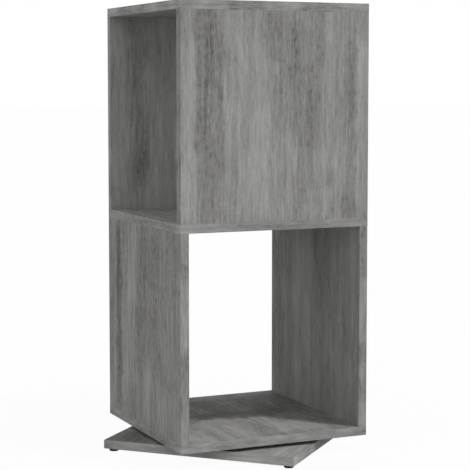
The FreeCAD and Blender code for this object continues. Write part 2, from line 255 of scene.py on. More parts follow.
# %% Material helpers
WORLD_X, WORLD_Y, WORLD_Z = Vector((1, 0, 0)), Vector((0, 1, 0)), Vector((0, 0, 1))
BASE_TURN = math.radians(-45.6)
BASE_ACROSS = Vector((math.cos(BASE_TURN), math.sin(BASE_TURN), 0))
BASE_ALONG = Vector((-math.sin(BASE_TURN), math.cos(BASE_TURN), 0))


def plain_material(name, **values):
    """A material with one Principled shader and constants on its sockets; returns all three."""
    material = bpy.data.materials.new(name)
    material.use_nodes = True
    tree = material.node_tree
    tree.nodes.clear()
    shader = add_node(tree, "ShaderNodeBsdfPrincipled")
    for label, value in values.items():
        shader.inputs[label.replace("_", " ")].default_value = value
    add_node(tree, "ShaderNodeOutputMaterial", {"Surface": shader.outputs["BSDF"]})
    return material, tree, shader


def connect(tree, shader, **outputs):
    """Link outputs to the shader's sockets, named as in plain_material."""
    for label, output in outputs.items():
        tree.links.new(output, shader.inputs[label.replace("_", " ")])


def object_place(tree):
    return add_node(tree, "ShaderNodeTexCoord").outputs["Object"]


def board_place(tree, middle, across, along):
    """Object coordinates, turned so that X is across the grain, Y along it and Z through."""
    rows = Matrix((across, along, across.cross(along)))
    offset = -(rows @ Vector(middle))
    sockets = {"Vector": object_place(tree), "Location": offset, "Rotation": rows.to_euler()}
    return add_node(tree, "ShaderNodeMapping", sockets, vector_type="POINT").outputs[0]


def bump(tree, height, strength, distance):
    sockets = {"Height": height, "Strength": strength, "Distance": distance}
    return add_node(tree, "ShaderNodeBump", sockets).outputs[0]


def blend_colours(tree, share, first, second):
    """A colour mix: the Mix node keeps its colour sockets at 6 and 7 and its colour result at 2."""
    sockets = {0: share, 6: first, 7: second}
    return add_node(tree, "ShaderNodeMix", sockets, data_type="RGBA").outputs[2]


def dress(node, material):
    """Give a CAD node one material, in whatever slots it came with."""
    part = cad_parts[node]
    if not part.material_slots:
        part.data.materials.append(material)
    for holder in part.material_slots:
        holder.material = material


def middle_of(node):
    low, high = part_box(node)
    return (low + high) / 2


print("the base's grain runs along", tuple(round(part, 3) for part in BASE_ALONG))

# %% [markdown]
# ## A material for each board
# A decor material is the grain group fed with one board's coordinates. Its soft patches add up to
# the tone that the group starts from. A shallow bump from the same tone gives the pressed pores
# that catch a little light.

# %% Decor material
DECOR_GLOSS = 0.2
PORE_STRENGTH, PORE_DEPTH = 0.25, 0.00012


def grain_into(tree, shader, place, seed, tone):
    """Lead the grain group into a shader: colour, roughness and a shallow bump."""
    sockets = {"Board": place, "Seed": seed, "Tone": tone}
    grain = add_node(tree, "ShaderNodeGroup", sockets, node_tree=grain_group).outputs
    pores = bump(tree, grain["Height"], PORE_STRENGTH, PORE_DEPTH)
    connect(tree, shader, Base_Color=grain["Colour"], Roughness=grain["Roughness"], Normal=pores)
    return grain["Colour"]


def patched_tone(tree, place, patches, lift):
    """The lift plus every soft patch that covers the place."""
    tone = lift
    for x, y, half_x, half_y, strength in patches:
        sockets = {"Board": place, "Middle": (x, y, 0.0), "Half size": (half_x, half_y, 1.0),
                   "Strength": strength}
        patch = add_node(tree, "ShaderNodeGroup", sockets, node_tree=patch_group)
        tone = calculate(tree, "ADD", tone, patch.outputs["Tone"])
    return tone


def decor_material(name, middle, across, along, seed, patches, lift):
    """The printed grey grain on one board; returns the material, its tree, shader and colour."""
    material, tree, shader = plain_material(name, Specular_IOR_Level=DECOR_GLOSS)
    place = board_place(tree, middle, across, along)
    colour = grain_into(tree, shader, place, seed, patched_tone(tree, place, patches, lift))
    return material, tree, shader, colour


# %% [markdown]
# ## The seven boards of the cabinet
# Each patch below is one band or blotch that can be found in the photograph. Its place, half sizes
# and strength were set over several rounds, by comparing the mean grey of regions of the render
# with that of the same regions of the photograph. The lift is the whole board's own tone. Of the
# top and middle boards' faces the photograph shows almost nothing, so these two have the noise
# alone.
# The bottom board's patches are painted shadow and painted light along the key lamp's shadow.

# %% Boards and their patches
# A patch: its place across and along the grain from the board's middle and its two half sizes, all
# in metres, and then how much paler or darker it makes the tone
FRONT_PATCHES = (
    (-0.114, 0.000, 0.020, 0.180, -0.060), (-0.112, 0.062, 0.015, 0.026, -0.060),
    (-0.118, -0.080, 0.018, 0.040, -0.040), (-0.084, 0.010, 0.012, 0.080, 0.075),
    (-0.045, 0.000, 0.030, 0.180, 0.085), (0.022, 0.070, 0.030, 0.100, -0.085),
    (0.068, -0.010, 0.013, 0.052, -0.085), (0.133, -0.150, 0.012, 0.026, -0.080),
    (0.163, 0.000, 0.016, 0.180, 0.170), (-0.158, 0.000, 0.015, 0.180, 0.110),
    (0.000, -0.120, 0.200, 0.070, 0.030), (-0.076, 0.135, 0.020, 0.040, 0.075),
    (0.005, 0.130, 0.040, 0.045, -0.045), (0.080, -0.150, 0.026, 0.034, 0.090),
)
LOWER_LEFT_PATCHES = (
    (0.120, 0.000, 0.015, 0.170, -0.175), (0.060, 0.020, 0.032, 0.160, 0.115),
    (-0.026, 0.060, 0.034, 0.120, -0.105), (-0.020, -0.110, 0.030, 0.060, 0.025),
    (-0.105, -0.110, 0.010, 0.060, -0.077), (0.000, 0.120, 0.200, 0.060, -0.040),
    (0.000, -0.130, 0.200, 0.050, 0.045), (0.158, 0.000, 0.012, 0.180, -0.060),
)
LOWER_RIGHT_PATCHES = (
    (0.160, 0.030, 0.014, 0.150, -0.110), (0.134, 0.000, 0.017, 0.180, -0.115),
    (0.045, -0.020, 0.036, 0.170, 0.090), (-0.008, -0.040, 0.022, 0.120, 0.030),
    (-0.075, 0.000, 0.018, 0.160, -0.025), (-0.115, 0.090, 0.040, 0.080, -0.020),
    (-0.105, -0.120, 0.040, 0.065, 0.075),
)
UPPER_BACK_PATCHES = (
    (-0.116, 0.030, 0.017, 0.160, -0.085), (-0.112, -0.110, 0.016, 0.050, -0.050),
    (-0.068, 0.000, 0.022, 0.180, 0.035), (-0.030, 0.000, 0.022, 0.180, 0.090),
    (-0.156, 0.000, 0.014, 0.170, 0.100), (0.000, 0.150, 0.200, 0.024, 0.050),
    (0.000, -0.150, 0.200, 0.030, 0.055),
)
# Painted shadow and light on the floor: three patches darken its shade, two lighten its lit front
BOTTOM_PAINTED_SHADOW_AND_LIGHT = (
    (0.032, 0.065, 0.130, 0.085, -0.245), (0.003, 0.003, 0.098, 0.030, -0.150),
    (0.098, -0.045, 0.026, 0.045, -0.110), (0.056, -0.115, 0.042, 0.040, 0.165),
    (-0.130, -0.130, 0.034, 0.050, 0.150),
)
# Across the grain, along it, seed, patches, lift
BOARDS = {
    "upper_front_panel": (WORLD_X, WORLD_Z, 1.0, FRONT_PATCHES, 0.01),
    "upper_back_panel": (WORLD_X, WORLD_Z, 2.0, UPPER_BACK_PATCHES, 0.085),
    "lower_left_panel": (WORLD_Y, WORLD_Z, 3.0, LOWER_LEFT_PATCHES, -0.04),
    "lower_right_panel": (WORLD_Y, WORLD_Z, 4.0, LOWER_RIGHT_PATCHES, 0.065),
    "top_panel": (WORLD_X, WORLD_Y, 5.0, (), 0.03),
    "middle_panel": (WORLD_X, WORLD_Y, 6.0, (), 0.06),
    "bottom_panel": (WORLD_X, WORLD_Y, 7.0, BOTTOM_PAINTED_SHADOW_AND_LIGHT, -0.01),
}
for node, settings in BOARDS.items():
    dress(node, decor_material(f"{node}_decor", middle_of(node), *settings)[0])
print("boards finished", len(BOARDS))

# %% [markdown]
# ## The base board and its drilled hole
# The base carries the same print, but one hole goes right through it, for the driver that reaches
# the upper screws. Inside that hole the board's core is bare: pressed wood chips, warm and coarse.
# The hole is part of the CAD mesh, so a mask by distance from its axis puts the core there.

# %% Base board
# Painted shadow on the base's left corner and painted light on its lit front corner
BASE_PAINTED_SHADOW_AND_LIGHT = ((-0.150, -0.150, 0.060, 0.060, -0.160), (0.150, -0.150, 0.060, 0.060, 0.085))
BASE_SEED, BASE_LIFT = 8.0, 0.03
CHIP_SCALE = (620.0, 700.0, 1500.0)
CHIP_COLOURS = ((0.36, 0.235, 0.125, 1.0), (0.60, 0.44, 0.27, 1.0))
CHIP_GAP_COLOUR = (0.10, 0.062, 0.034, 1.0)
CHIP_GAP_LIMITS, CHIP_GAP_SHARE = (0.45, 0.75), 0.75
# The hole's axis from the board's middle, and a radius just outside its wall
DRIVER_HOLE = Vector((0.0, -0.0487, 0.0))
DRIVER_HOLE_REACH = 0.00565


def chip_colour(tree, place):
    """Wood chips: Voronoi cells squeezed flat, each with its own shade, and dark gaps between."""
    flat = combine(tree, "MULTIPLY", place, CHIP_SCALE)
    cells = add_node(tree, "ShaderNodeTexVoronoi", {"Vector": flat, "Scale": 1.0}).outputs
    shade = add_node(tree, "ShaderNodeSeparateColor", {0: cells["Color"]}).outputs[0]
    colour = blend_colours(tree, shade, *CHIP_COLOURS)
    gap = remap(tree, cells["Distance"], *CHIP_GAP_LIMITS, 0.0, CHIP_GAP_SHARE)
    return blend_colours(tree, gap, colour, CHIP_GAP_COLOUR)


def dress_base_board():
    middle = middle_of("base_panel")
    material, tree, shader, colour = decor_material(
        "base_panel_decor_painted_shade_and_light", middle, BASE_ACROSS, BASE_ALONG, BASE_SEED, BASE_PAINTED_SHADOW_AND_LIGHT, BASE_LIFT)
    place = board_place(tree, middle, BASE_ACROSS, BASE_ALONG)
    beside = combine(tree, "MULTIPLY", combine(tree, "SUBTRACT", place, DRIVER_HOLE), (1, 1, 0))
    in_hole = calculate(tree, "LESS_THAN", length_of(tree, beside), DRIVER_HOLE_REACH)
    mixed = blend_colours(tree, in_hole, colour, chip_colour(tree, place))
    connect(tree, shader, Base_Color=mixed)
    dress("base_panel", material)
    return len(tree.nodes)


print("base board nodes", dress_base_board())

# %% [markdown]
# ## The strips on the cut edges
# The strips carry the same print, cut from a roll, so their grain runs along their length. A set
# of strips round a flat board has two lengthwise directions. Which one a point belongs to follows
# from which side of the board it is nearest to, so a Mix node swaps the coordinates there. One
# more slow noise makes the tone change along a strip, as it does where a roll of print was cut.

# %% Edging material
STRIP_CHANGE, STRIP_CHANGE_SHARE = (9.0, 17.0, 9.0), 0.34


def strip_place(tree, place):
    """Board coordinates for a ring of four strips: Y always runs along the nearest strip.

    The Mix node keeps its vector sockets at 4 and 5 and its vector result at 1.
    """
    parts = parts_of(tree, place)
    far_x = calculate(tree, "ABSOLUTE", parts["X"])
    far_y = calculate(tree, "ABSOLUTE", parts["Y"])
    on_side = calculate(tree, "GREATER_THAN", far_x, far_y)
    along_x = vector_of(tree, parts["Z"], parts["X"], parts["Y"])
    along_y = vector_of(tree, parts["Z"], parts["Y"], parts["X"])
    sockets = {0: on_side, 4: along_x, 5: along_y}
    return add_node(tree, "ShaderNodeMix", sockets, data_type="VECTOR").outputs[1]


def edging_material(name, middle, across, along, seed, lift, ring, patches=()):
    """The print on strips: a ring of four round a flat board, or upright ones down its sides."""
    material, tree, shader = plain_material(name, Specular_IOR_Level=DECOR_GLOSS)
    place = board_place(tree, middle, across, along)
    tone = patched_tone(tree, place, patches, lift)
    if ring:
        place = strip_place(tree, place)
    change = centred_noise(tree, combine(tree, "ADD", place, (seed, seed, seed)), STRIP_CHANGE)
    tone = calculate(tree, "MULTIPLY_ADD", change, STRIP_CHANGE_SHARE, tone)
    grain_into(tree, shader, place, seed, tone)
    return material


# %% [markdown]
# ## Strips on every board
# The strips that the photograph shows have patches too, because each was cut from the roll with
# a pale or a dark stretch in it. Their places are read in board coordinates, before the swap, so
# one table reaches all four sides of a board. The back and the right side don't show, and noise
# alone does for them. The base's two strip patches are painted light on its front-left strip and
# painted shade on its front-right strip.

# %% Strips and their patches
BOTTOM_STRIP_PATCHES = ((-0.060, -0.172, 0.120, 0.020, 0.100),)
MIDDLE_STRIP_PATCHES = ((-0.130, -0.172, 0.048, 0.020, 0.100), (-0.172, 0.0, 0.020, 0.200, -0.030))
TOP_STRIP_PATCHES = ((-0.172, 0.040, 0.020, 0.080, -0.110), (-0.172, -0.110, 0.020, 0.050, -0.040),
                     (-0.155, -0.172, 0.020, 0.020, -0.070), (-0.055, -0.172, 0.034, 0.020, -0.190),
                     (0.064, -0.172, 0.026, 0.020, -0.080))
LEFT_STRIP_PATCHES = ((0.0, 0.110, 0.030, 0.018, -0.130), (0.0, 0.045, 0.030, 0.048, 0.070),
                      (0.0, -0.070, 0.030, 0.060, -0.140), (0.0, -0.140, 0.030, 0.020, -0.060))
RIGHT_STRIP_PATCHES = ((0.0, -0.045, 0.030, 0.024, -0.100), (0.0, -0.096, 0.030, 0.034, -0.090),
                       (0.0, -0.155, 0.030, 0.024, 0.110))
# Painted light on the front-left strip and painted shade on the front-right strip
BASE_STRIP_PAINTED_LIGHT_AND_SHADE = ((0.0, -0.172, 0.200, 0.030, 0.150), (0.172, -0.040, 0.020, 0.110, -0.060))
UPPER_STRIP_PATCHES = ((0.0, 0.130, 0.030, 0.060, -0.050),)
# Across the board, along it, seed, lift, whether the strips make a ring, patches
EDGINGS = {
    "base_edging": (BASE_ACROSS, BASE_ALONG, 11.0, 0.06, True, BASE_STRIP_PAINTED_LIGHT_AND_SHADE),
    "bottom_edging": (WORLD_X, WORLD_Y, 12.0, 0.05, True, BOTTOM_STRIP_PATCHES),
    "middle_edging": (WORLD_X, WORLD_Y, 13.0, 0.06, True, MIDDLE_STRIP_PATCHES),
    "top_edging": (WORLD_X, WORLD_Y, 20.0, 0.05, True, TOP_STRIP_PATCHES),
    "lower_left_edging": (WORLD_X, WORLD_Z, 15.0, 0.03, False, LEFT_STRIP_PATCHES),
    "lower_right_edging": (WORLD_X, WORLD_Z, 16.0, 0.02, False, RIGHT_STRIP_PATCHES),
    "upper_front_edging": (WORLD_Y, WORLD_Z, 17.0, -0.01, False, UPPER_STRIP_PATCHES),
    "upper_back_edging": (WORLD_Y, WORLD_Z, 18.0, -0.08, False),
}
for node, settings in EDGINGS.items():
    dress(node, edging_material(f"{node}_decor", middle_of(node), *settings))
print("edgings finished", len(EDGINGS))

# %% [markdown]
# ## Geometry Nodes as a lathe
# Feet, screws and dowels are all turned shapes. A geometry tree can work as a lathe: a flat grid
# has its columns moved to the corners of a profile, and its rows turned round the Z axis. An Index
# Switch picks each column's corner. Merging what lies on the axis and where the last row meets the
# first closes the poles and the seam. The Spin tool would do the same by hand, but here a profile
# can be built from a tree's named inputs.

# %% Lathe
SEAM_GAP = 1e-6


def lathe(tree, corners, sides, flutes=0, flute_depth=0.0):
    """Turn a profile of (radius, height) about Z, from the top's middle round to the bottom's."""
    sockets = {"Size X": 1.0, "Size Y": 1.0, "Vertices X": len(corners), "Vertices Y": sides + 1}
    sheet = add_node(tree, "GeometryNodeMeshGrid", sockets).outputs["Mesh"]
    parts = parts_of(tree, add_node(tree, "GeometryNodeInputPosition").outputs[0])
    column = calculate(tree, "MULTIPLY_ADD", parts["X"], len(corners) - 1.0, (len(corners) - 1) / 2)
    turn = calculate(tree, "MULTIPLY", parts["Y"], 2 * math.pi)
    switch = add_node(tree, "GeometryNodeIndexSwitch", data_type="VECTOR")
    for _ in corners[2:]:
        switch.index_switch_items.new()
    tree.links.new(calculate(tree, "ROUND", column), switch.inputs["Index"])
    for index, (radius, height) in enumerate(corners):
        tree.links.new(vector_of(tree, radius, 0.0, height), switch.inputs[index + 1])
    corner = switch.outputs[0]
    if flutes:
        wave = calculate(tree, "COSINE", calculate(tree, "MULTIPLY", turn, float(flutes)))
        slim = calculate(tree, "MULTIPLY_ADD", wave, flute_depth / 2, 1 - flute_depth / 2)
        corner = combine(tree, "MULTIPLY", corner, vector_of(tree, slim, 1.0, 1.0))
    sockets = {"Vector": corner, "Angle": turn}
    turned = add_node(tree, "ShaderNodeVectorRotate", sockets, rotation_type="Z_AXIS").outputs[0]
    moved = add_node(tree, "GeometryNodeSetPosition", {"Geometry": sheet, "Position": turned})
    sockets = {"Geometry": moved.outputs[0], "Distance": SEAM_GAP}
    return add_node(tree, "GeometryNodeMergeByDistance", sockets).outputs[0]


# %% [markdown]
# ## Four copies, and from tree to mesh
# Each kind of hardware comes in fours, on the corners of a rectangle. The last nodes of a tree make
# these copies, and the rectangle's size, height and turn are named inputs, so that one tree serves
# several places. A finished tree is run once on an empty object, and what it makes is kept as a
# plain mesh: instances would be lost when the pieces are handed over.

# %% Copies and meshes
GEOMETRY_OUT = [("Geometry", "NodeSocketGeometry")]
FOUR_CORNER_INPUTS = [("Spread X", "NodeSocketFloat", 0.1), ("Spread Y", "NodeSocketFloat", 0.1),
                      ("Height", "NodeSocketFloat", 0.0), ("Turn", "NodeSocketFloat", 0.0)]
SHARP_ANGLE = math.radians(35.0)


def move(tree, geometry, shift=(0, 0, 0), turn=(0, 0, 0)):
    sockets = {"Geometry": geometry, "Translation": shift, "Rotation": turn}
    return add_node(tree, "GeometryNodeTransform", sockets).outputs[0]


def join(tree, *pieces):
    node = add_node(tree, "GeometryNodeJoinGeometry")
    for piece in pieces:
        tree.links.new(piece, node.inputs[0])
    return node.outputs[0]


def on_four_corners(tree, piece, given):
    """Copies at the corners of a rectangle, lifted and turned by the tree's named inputs."""
    sockets = {"Size X": given["Spread X"], "Size Y": given["Spread Y"],
               "Vertices X": 2, "Vertices Y": 2}
    points = add_node(tree, "GeometryNodeMeshGrid", sockets).outputs["Mesh"]
    copies = add_node(tree, "GeometryNodeInstanceOnPoints", {"Points": points, "Instance": piece})
    place = vector_of(tree, 0.0, 0.0, given["Height"])
    return move(tree, copies.outputs[0], place, vector_of(tree, 0.0, 0.0, given["Turn"]))


def finish_tree(tree, geometry, material, result):
    solid = add_node(tree, "GeometryNodeRealizeInstances", {"Geometry": geometry}).outputs[0]
    painted = add_node(tree, "GeometryNodeSetMaterial", {"Geometry": solid, "Material": material})
    tree.links.new(painted.outputs[0], result["Geometry"])


def socket_name(tree, label):
    """A modifier knows an input by its identifier, not by the label that people read."""
    return next(item.identifier for item in tree.interface.items_tree
                if item.item_type == "SOCKET" and item.in_out == "INPUT" and item.name == label)


def grow(name, tree, values):
    """Run a tree with these inputs and keep what it makes as a plain mesh object."""
    holder = bpy.data.objects.new(f"{name}_tree", bpy.data.meshes.new(f"{name}_start"))
    bpy.context.scene.collection.objects.link(holder)
    modifier = holder.modifiers.new("tree", "NODES")
    modifier.node_group = tree
    for label, value in values.items():
        modifier[socket_name(tree, label)] = value
    ready = bpy.context.evaluated_depsgraph_get()
    mesh = bpy.data.meshes.new_from_object(holder.evaluated_get(ready), depsgraph=ready)
    holder.modifiers.remove(modifier)
    bpy.data.objects.remove(holder)
    mesh.name = name
    mesh.shade_smooth()
    mesh.set_sharp_from_angle(angle=SHARP_ANGLE)
    piece = bpy.data.objects.new(name, mesh)
    bpy.context.scene.collection.objects.link(piece)
    print(name, len(mesh.polygons), "faces")
    return piece


print("inputs of every tree in fours", [label for label, *_ in FOUR_CORNER_INPUTS])

# %% [markdown]
# ## Black plastic and zinc-plated steel
# A foot is two things: a plastic glide and the nail that holds it. The plastic is nearly black with
# a fine moulded grain, so its material is a dark colour and a small, even bump. Zinc plating has
# cloudy crystals, so one noise drives both its colour and its gloss. The screws are plated too.

# %% Plastic and plated steel
PLASTIC_BLACKS = ((0.0018, 0.0018, 0.0019, 1.0), (0.0045, 0.0045, 0.0046, 1.0))
ZINC_GREYS = ((0.50, 0.51, 0.53, 1.0), (0.70, 0.70, 0.69, 1.0))


def moulded_plastic():
    material, tree, shader = plain_material("black_foot_plastic", Roughness=0.70,
                                            Specular_IOR_Level=0.06)
    place = object_place(tree)
    shade = noise(tree, place, (240.0, 240.0, 240.0), 3.0)
    colour = blend_colours(tree, shade, *PLASTIC_BLACKS)
    grain = noise(tree, place, (2600.0, 2600.0, 2600.0), 2.0)
    connect(tree, shader, Base_Color=colour, Normal=bump(tree, grain, 0.35, 0.00006))
    return material


def zinc_steel():
    """Zinc-plated steel: a bright metal with cloudy crystals and slightly uneven gloss."""
    material, tree, shader = plain_material("zinc_steel", Metallic=1.0)
    place = object_place(tree)
    clouds = noise(tree, place, (900.0, 900.0, 900.0), 3.0)
    colour = blend_colours(tree, clouds, *ZINC_GREYS)
    connect(tree, shader, Base_Color=colour, Roughness=remap(tree, clouds, 0.3, 0.7, 0.28, 0.42))
    return material


foot_plastic, screw_steel = moulded_plastic(), zinc_steel()
print("materials", foot_plastic.name, screw_steel.name)

# %% [markdown]
# ## Feet under the base
# Four tapered glides carry the cabinet. Seen from below, each has a shallow round recess with the
# domed head of its nail. Foot and nail are one lathe profile each. The foot's lower edge is rounded
# in a few steps, because a hard edge on black plastic catches no light.

# %% Feet
FOOT_SIZES = {"Top radius": 0.0085, "Bottom radius": 0.0080, "Foot height": 0.005,
              "Rounding": 0.0005, "Recess radius": 0.0032, "Recess depth": 0.0016}
FOOT_SPREAD = 0.319
FOOT_SIDES, NAIL_SIDES, ROUNDING_STEPS = 40, 24, 4
# The nail head's radius as a share of the recess's, its flat crown's as a share of the head's, and
# how far down its edge and its crown come, as shares of the recess's depth
NAIL_RADIUS, NAIL_CROWN, NAIL_EDGE, NAIL_LOW = 0.72, 0.75, 0.70, 0.45


def make_feet_tree(plastic, steel):
    inputs = [(label, "NodeSocketFloat", size) for label, size in FOOT_SIZES.items()]
    tree, given, result = group_with("feet_tree", "GeometryNodeTree", inputs + FOUR_CORNER_INPUTS,
                                     GEOMETRY_OUT)
    round_over = given["Rounding"]
    inset = calculate(tree, "SUBTRACT", given["Bottom radius"], round_over)
    corners = [(0.0, given["Foot height"]), (given["Top radius"], given["Foot height"])]
    for step in range(ROUNDING_STEPS + 1):
        angle = step * math.pi / 2 / ROUNDING_STEPS
        across = calculate(tree, "MULTIPLY_ADD", round_over, math.cos(angle), inset)
        up = calculate(tree, "MULTIPLY", round_over, 1 - math.sin(angle))
        corners.append((across, up))
    corners += [(given["Recess radius"], 0.0), (given["Recess radius"], given["Recess depth"]),
                (0.0, given["Recess depth"])]
    foot = add_node(tree, "GeometryNodeSetMaterial",
                    {"Geometry": lathe(tree, corners, FOOT_SIDES), "Material": plastic}).outputs[0]
    head_radius = calculate(tree, "MULTIPLY", given["Recess radius"], NAIL_RADIUS)
    low = calculate(tree, "MULTIPLY", given["Recess depth"], NAIL_LOW)
    edge = calculate(tree, "MULTIPLY", given["Recess depth"], NAIL_EDGE)
    dome = [(0.0, given["Recess depth"]), (head_radius, given["Recess depth"]), (head_radius, edge),
            (calculate(tree, "MULTIPLY", head_radius, NAIL_CROWN), low), (0.0, low)]
    nail = add_node(tree, "GeometryNodeSetMaterial",
                    {"Geometry": lathe(tree, dome, NAIL_SIDES), "Material": steel}).outputs[0]
    copies = on_four_corners(tree, join(tree, foot, nail), given)
    solid = add_node(tree, "GeometryNodeRealizeInstances", {"Geometry": copies}).outputs[0]
    tree.links.new(solid, result["Geometry"])
    return tree


feet = grow("four_glides", make_feet_tree(foot_plastic, screw_steel),
            {"Spread X": FOOT_SPREAD, "Spread Y": FOOT_SPREAD, "Turn": BASE_TURN})
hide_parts("feet")
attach(feet, "base")

# %% [markdown]
# ## Screws through the bearing's rings
# Countersunk chipboard screws hold each ring: a flat head with a cross recess, a shank and a
# coarse thread. The head and shank come from the lathe, a Spiral swept with a small triangle is
# the thread, and two crossed bars are cut out of the head. The bars differ a little in depth,
# because two faces in one plane would confuse the Boolean.

# %% Screw tree
SCREW_SIZES = {"Head radius": 0.004, "Core radius": 0.0015, "Thread radius": 0.002,
               "Length": 0.016, "Pitch turns": 9.0, "Recess width": 0.0009}
SCREW_SIDES, TURN_STEPS = 28, 20
HEAD_DEPTH, HEAD_LIP, NECK = 0.002, 0.0002, 0.0006
THREAD_START, THREAD_DEPTH = 0.0008, 0.00044
RECESS_DEEP, RECESS_LESS_DEEP = 0.0026, 0.0023
# Where the point starts and the thread ends along the length, how thin the thread tapers, and how
# long the recess's bars are beside the head's radius
POINT_FROM, THREAD_TO, THREAD_TAPER, RECESS_REACH = 0.80, 0.78, 0.86, 1.15


def make_screw_tree(steel):
    inputs = [(label, "NodeSocketFloat", size) for label, size in SCREW_SIZES.items()]
    inputs += [("Turn over", "NodeSocketFloat", 0.0)]
    tree, given, result = group_with("screw_tree", "GeometryNodeTree", inputs + FOUR_CORNER_INPUTS,
                                     GEOMETRY_OUT)
    core, length = given["Core radius"], given["Length"]
    end = calculate(tree, "MULTIPLY", length, -1.0)
    shoulder = calculate(tree, "MULTIPLY", length, -POINT_FROM)
    body = lathe(tree, [(0.0, 0.0), (given["Head radius"], 0.0), (given["Head radius"], -HEAD_LIP),
                        (given["Thread radius"], -HEAD_DEPTH), (core, -HEAD_DEPTH - NECK),
                        (core, shoulder), (0.0, end)], SCREW_SIDES)
    arms = []
    for quarter, deep in ((0.0, RECESS_DEEP), (math.pi / 2, RECESS_LESS_DEEP)):
        size = vector_of(tree, calculate(tree, "MULTIPLY", given["Head radius"], RECESS_REACH),
                         given["Recess width"], deep)
        arm = add_node(tree, "GeometryNodeMeshCube", {"Size": size}).outputs["Mesh"]
        arms.append(move(tree, arm, turn=(0.0, 0.0, quarter)))
    cut = add_node(tree, "GeometryNodeMeshBoolean", operation="DIFFERENCE")
    tree.links.new(body, cut.inputs[0])
    for arm in arms:
        tree.links.new(arm, cut.inputs[1])
    reach = calculate(tree, "MULTIPLY", length, THREAD_TO)
    ridge = calculate(tree, "SUBTRACT", given["Thread radius"], THREAD_DEPTH)
    sockets = {"Resolution": TURN_STEPS, "Rotations": given["Pitch turns"], "Start Radius": ridge,
               "End Radius": calculate(tree, "MULTIPLY", ridge, THREAD_TAPER),
               "Height": calculate(tree, "SUBTRACT", reach, HEAD_DEPTH)}
    path = add_node(tree, "GeometryNodeCurveSpiral", sockets).outputs[0]
    sockets = {"Resolution": 3, "Radius": THREAD_DEPTH}
    section = add_node(tree, "GeometryNodeCurvePrimitiveCircle", sockets).outputs[0]
    sockets = {"Curve": path, "Profile Curve": section, "Fill Caps": True}
    swept = add_node(tree, "GeometryNodeCurveToMesh", sockets).outputs[0]
    thread = move(tree, swept, (0.0, 0.0, -HEAD_DEPTH - THREAD_START), (math.pi, 0.0, 0.0))
    screw = join(tree, cut.outputs[0], thread)
    screw = move(tree, screw, turn=vector_of(tree, given["Turn over"]))
    finish_tree(tree, on_four_corners(tree, screw, given), steel, result)
    return tree


screw_tree = make_screw_tree(screw_steel)
print("screw nodes", len(screw_tree.nodes))

# %% [markdown]
# ## Screws down and screws up
# The outer ring's screws go down into the base and stand still with it. The inner ring's go up into
# the cabinet and turn with it. Both sets are the same screw, so the same tree runs twice, the
# second time upside down, and each set rides on the body that it is screwed to.

# %% Ring screws
# Name, CAD node, body, radius of the screw circle, height of the heads, turn over, turn round
SCREW_SETS = (
    ("outer_screws", "outer_ring_screws", "base", 0.0633, 0.0252, 0.0, BASE_TURN),
    ("inner_screws", "inner_ring_screws", "cabinet", 0.0487, 0.0208, math.pi, 0.0),
)
for name, node, body, circle, height, over, turn in SCREW_SETS:
    spread = circle * math.sqrt(2)
    screws = grow(name, screw_tree, {"Spread X": spread, "Spread Y": spread, "Height": height,
                                     "Turn": turn, "Turn over": over})
    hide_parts(node)
    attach(screws, body)

# %% [markdown]
# ## Bearing balls
# Hardened balls run between the rings. On a ball every facet shows in the highlight, so they are
# smooth spheres, set on the points of a circle by one Instance on Points node.

# %% Balls
BALL_SIZES = {"Ball radius": 0.0016, "Track radius": 0.056, "Height": 0.023}
BALL_COUNT = 6
BALL_SEGMENTS, BALL_RINGS = 28, 18
BALL_GREYS = ((0.60, 0.60, 0.61, 1.0), (0.68, 0.68, 0.68, 1.0))


def polished_steel():
    material, tree, shader = plain_material("polished_ball_steel", Metallic=1.0)
    smears = noise(tree, object_place(tree), (600.0, 600.0, 600.0), 2.0)
    colour = blend_colours(tree, smears, *BALL_GREYS)
    connect(tree, shader, Base_Color=colour, Roughness=remap(tree, smears, 0.3, 0.7, 0.10, 0.18))
    return material


def make_ball_tree(steel):
    inputs = [(label, "NodeSocketFloat", size) for label, size in BALL_SIZES.items()]
    inputs += [("Balls", "NodeSocketInt", BALL_COUNT)]
    tree, given, result = group_with("ball_tree", "GeometryNodeTree", inputs, GEOMETRY_OUT)
    sockets = {"Vertices": given["Balls"], "Radius": given["Track radius"]}
    points = add_node(tree, "GeometryNodeMeshCircle", sockets).outputs[0]
    sockets = {"Radius": given["Ball radius"], "Segments": BALL_SEGMENTS, "Rings": BALL_RINGS}
    ball = add_node(tree, "GeometryNodeMeshUVSphere", sockets).outputs[0]
    copies = add_node(tree, "GeometryNodeInstanceOnPoints", {"Points": points, "Instance": ball})
    lifted = move(tree, copies.outputs[0], vector_of(tree, 0.0, 0.0, given["Height"]))
    finish_tree(tree, lifted, steel, result)
    return tree


balls = grow("bearing_balls", make_ball_tree(polished_steel()), {"Balls": BALL_COUNT})
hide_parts("turntable_balls")
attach(balls, "ball_ring")

# %% [markdown]
# ## Fluted dowels
# Beech dowels, glued into both boards, hold every joint. A real one has pressed flutes that let
# the glue escape, and chamfered ends. The lathe makes both: flutes scale the radius by a wave
# round the turn, and two corners of the profile are the chamfer.

# %% Dowels
DOWEL_SIZES = {"Dowel radius": 0.004, "Dowel length": 0.030, "Chamfer": 0.001}
DOWEL_SIDES, FLUTES, FLUTE_DEPTH = 96, 16, 0.08
BEECH_BROWNS = ((0.50, 0.33, 0.18, 1.0), (0.70, 0.52, 0.33, 1.0))
FLECK_BROWN, FLECK_SHARE = (0.33, 0.19, 0.10, 1.0), 0.5
DOWEL_SPACING, PANEL_SPACING = 0.230, 0.330
# Spread on X, spread on Y, height of the lower end
DOWEL_SETS = {
    "bottom_dowels": (PANEL_SPACING, DOWEL_SPACING, 0.031),
    "middle_down_dowels": (PANEL_SPACING, DOWEL_SPACING, 0.368),
    "middle_up_dowels": (DOWEL_SPACING, PANEL_SPACING, 0.393),
    "top_dowels": (DOWEL_SPACING, PANEL_SPACING, 0.730),
}


